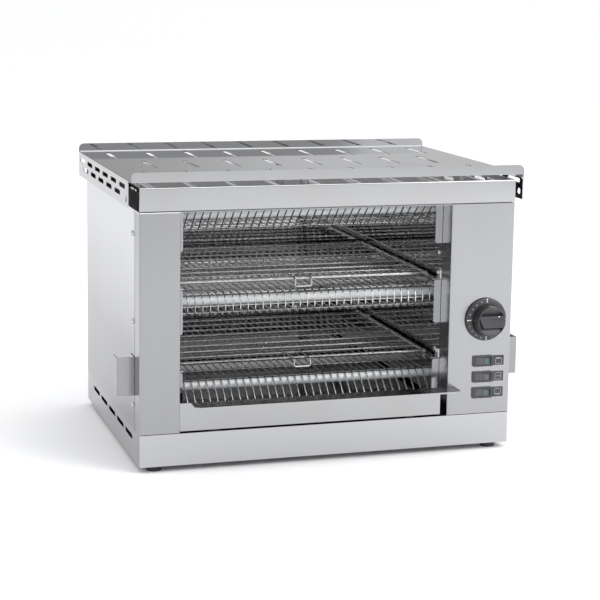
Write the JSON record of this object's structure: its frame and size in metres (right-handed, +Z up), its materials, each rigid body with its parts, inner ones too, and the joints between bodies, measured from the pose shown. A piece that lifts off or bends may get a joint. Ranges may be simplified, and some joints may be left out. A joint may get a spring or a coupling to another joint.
{
  "type": "commercial bread toaster",
  "caption": "Two-deck salamander toaster: open-fronted stainless cabinet with quartz heaters, wire guards, sliding wire racks, crumb tray, timer knob, rocker switches and slotted warming top.",
  "frame": {"origin": "centre of the overall box at the level of the feet's undersides", "axes": "+X to the control panel's side, +Y to the back, +Z up; the front faces -Y"},
  "size_m": [0.546, 0.407, 0.3799],
  "materials": {
    "brushed_casing_steel": "stainless sheet with a fine straight grain",
    "polished_steel": "bright polished stainless sheet",
    "plain_sheet": "galvanised sheet",
    "chromed_wire": "bright chromed wire",
    "guide_steel": "folded stainless strip",
    "fastener_steel": "zinc-plated steel",
    "foot_rubber": "moulded rubber",
    "quartz": "milky quartz glass",
    "ceramic": "white steatite ceramic",
    "heating_alloy": "oxidised resistance wire",
    "link_metal": "nickel-plated strip",
    "black_plastic": "charcoal moulded plastic",
    "timer_case": "moulded case",
    "green_lens": "green tinted plastic",
    "grey_lens": "grey tinted plastic",
    "legend_plastic": "dark printed plate"
  },
  "bodies": {
    "casing": {"base_plinth": "brushed_casing_steel", "left_pillar": "brushed_casing_steel", "control_panel": "brushed_casing_steel", "left_side_panel": "brushed_casing_steel", "right_side_panel": "brushed_casing_steel", "back_panel": "brushed_casing_steel", "top_tray": "brushed_casing_steel", "left_side_grip": "brushed_casing_steel", "right_side_grip": "brushed_casing_steel", "top_deck": "polished_steel", "left_liner": "polished_steel", "right_liner": "polished_steel", "chamber_back": "polished_steel", "chamber_ceiling": "polished_steel", "bottom_cover": "plain_sheet", "left_frame_post": "plain_sheet", "right_frame_post": "plain_sheet", "roof_panel": "plain_sheet", "deck_supports": "plain_sheet", "crumb_runners": "plain_sheet", "bottom_wire_guard": "chromed_wire", "middle_wire_guard": "chromed_wire", "top_wire_guard": "chromed_wire", "left_rack_guides": "guide_steel", "right_rack_guides": "guide_steel", "foot_screws": "fastener_steel", "side_screws": "fastener_steel", "back_screws": "fastener_steel", "liner_screws": "fastener_steel", "tray_spacers": "fastener_steel", "rocker_pins": "fastener_steel", "feet": "foot_rubber", "bottom_quartz_tubes": "quartz", "middle_quartz_tubes": "quartz", "top_quartz_tubes": "quartz", "ceramic_end_caps": "ceramic", "terminal_block": "ceramic", "heating_coils": "heating_alloy", "left_link_strips": "link_metal", "right_link_strips": "link_metal", "top_switch_housing": "black_plastic", "middle_switch_housing": "black_plastic", "bottom_switch_housing": "black_plastic", "cable_gland": "black_plastic", "timer_body": "timer_case", "legend_plates": "legend_plastic"},
    "lower_rack": {"lower_rack": "chromed_wire"},
    "upper_rack": {"upper_rack": "chromed_wire"},
    "crumb_tray": {"crumb_tray": "polished_steel"},
    "timer_knob": {"timer_knob": "black_plastic", "timer_shaft": "fastener_steel"},
    "top_rocker": {"top_rocker": "black_plastic", "top_rocker_lens": "green_lens"},
    "middle_rocker": {"middle_rocker": "black_plastic", "middle_rocker_lens": "grey_lens"},
    "bottom_rocker": {"bottom_rocker": "black_plastic", "bottom_rocker_lens": "green_lens"}
  },
  "joints": [
    {"name": "lower_rack_slide", "type": "slide", "parent": "casing", "child": "lower_rack", "axis": [0, -1, 0], "range_m": [0, 0.2]},
    {"name": "upper_rack_slide", "type": "slide", "parent": "casing", "child": "upper_rack", "axis": [0, -1, 0], "range_m": [0, 0.2]},
    {"name": "crumb_tray_slide", "type": "slide", "parent": "casing", "child": "crumb_tray", "axis": [0, -1, 0], "range_m": [0, 0.25]},
    {"name": "timer_turn", "type": "hinge", "parent": "casing", "child": "timer_knob", "pos_m": [0.213, -0.1805, 0.1768], "axis": [0, 1, 0], "range_deg": [0, 300]},
    {"name": "top_rocker_tilt", "type": "hinge", "parent": "casing", "child": "top_rocker", "pos_m": [0.2112, -0.1775, 0.1205], "axis": [0, 0, 1], "range_deg": [0, 16]},
    {"name": "middle_rocker_tilt", "type": "hinge", "parent": "casing", "child": "middle_rocker", "pos_m": [0.2112, -0.1775, 0.0991], "axis": [0, 0, 1], "range_deg": [0, 16]},
    {"name": "bottom_rocker_tilt", "type": "hinge", "parent": "casing", "child": "bottom_rocker", "pos_m": [0.2112, -0.1775, 0.0777], "axis": [0, 0, 1], "range_deg": [0, 16]}
  ]
}
